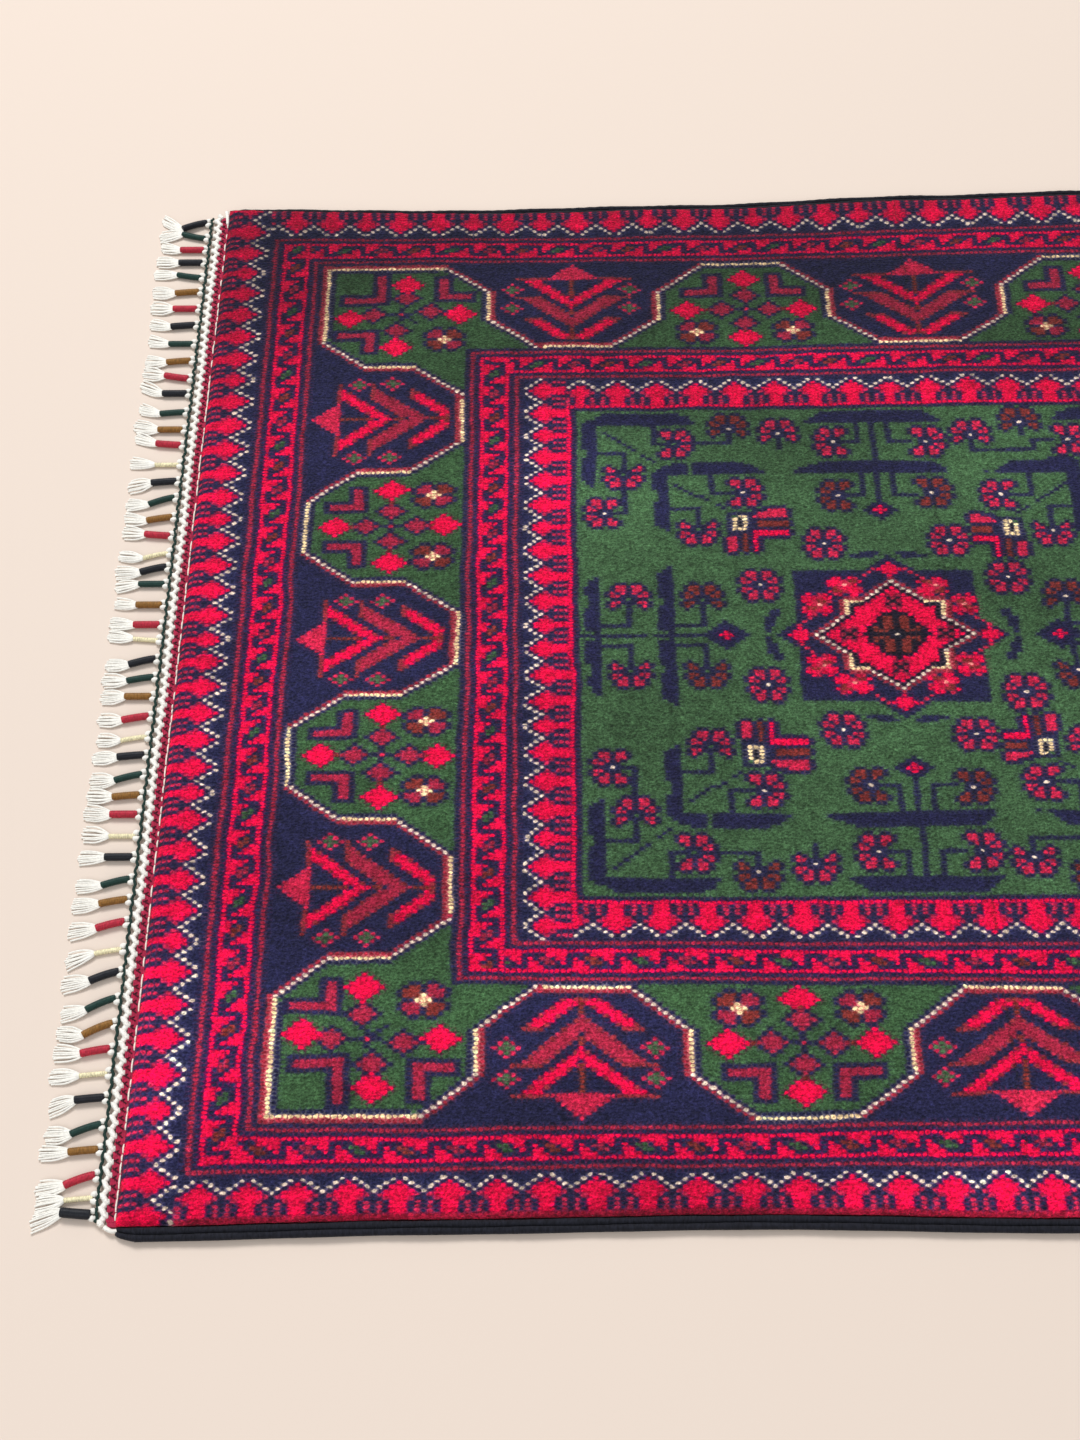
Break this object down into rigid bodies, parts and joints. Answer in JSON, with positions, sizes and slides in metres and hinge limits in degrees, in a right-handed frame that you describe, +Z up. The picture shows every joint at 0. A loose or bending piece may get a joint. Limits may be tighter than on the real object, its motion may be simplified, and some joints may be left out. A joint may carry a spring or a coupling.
{
  "type": "runner rug",
  "caption": "Long, narrow hand-knotted pile rug lying flat, with overcast side cords and a knotted, wrapped tassel fringe along each end.",
  "frame": {"origin": "on the floor under the middle of the whole rug, fringes included", "axes": "+X along the rug's length, +Y across its width, +Z up out of the pile"},
  "size_m": [3.0974, 0.8088, 0.009],
  "materials": {
    "pile": "matte",
    "side_cord": "matte",
    "fringe_cotton": "matte"
  },
  "bodies": {
    "root": {"rug_body": "pile", "selvedge_near": "side_cord", "selvedge_far": "side_cord", "fringe_left": "fringe_cotton", "fringe_right": "fringe_cotton"}
  },
  "joints": []
}
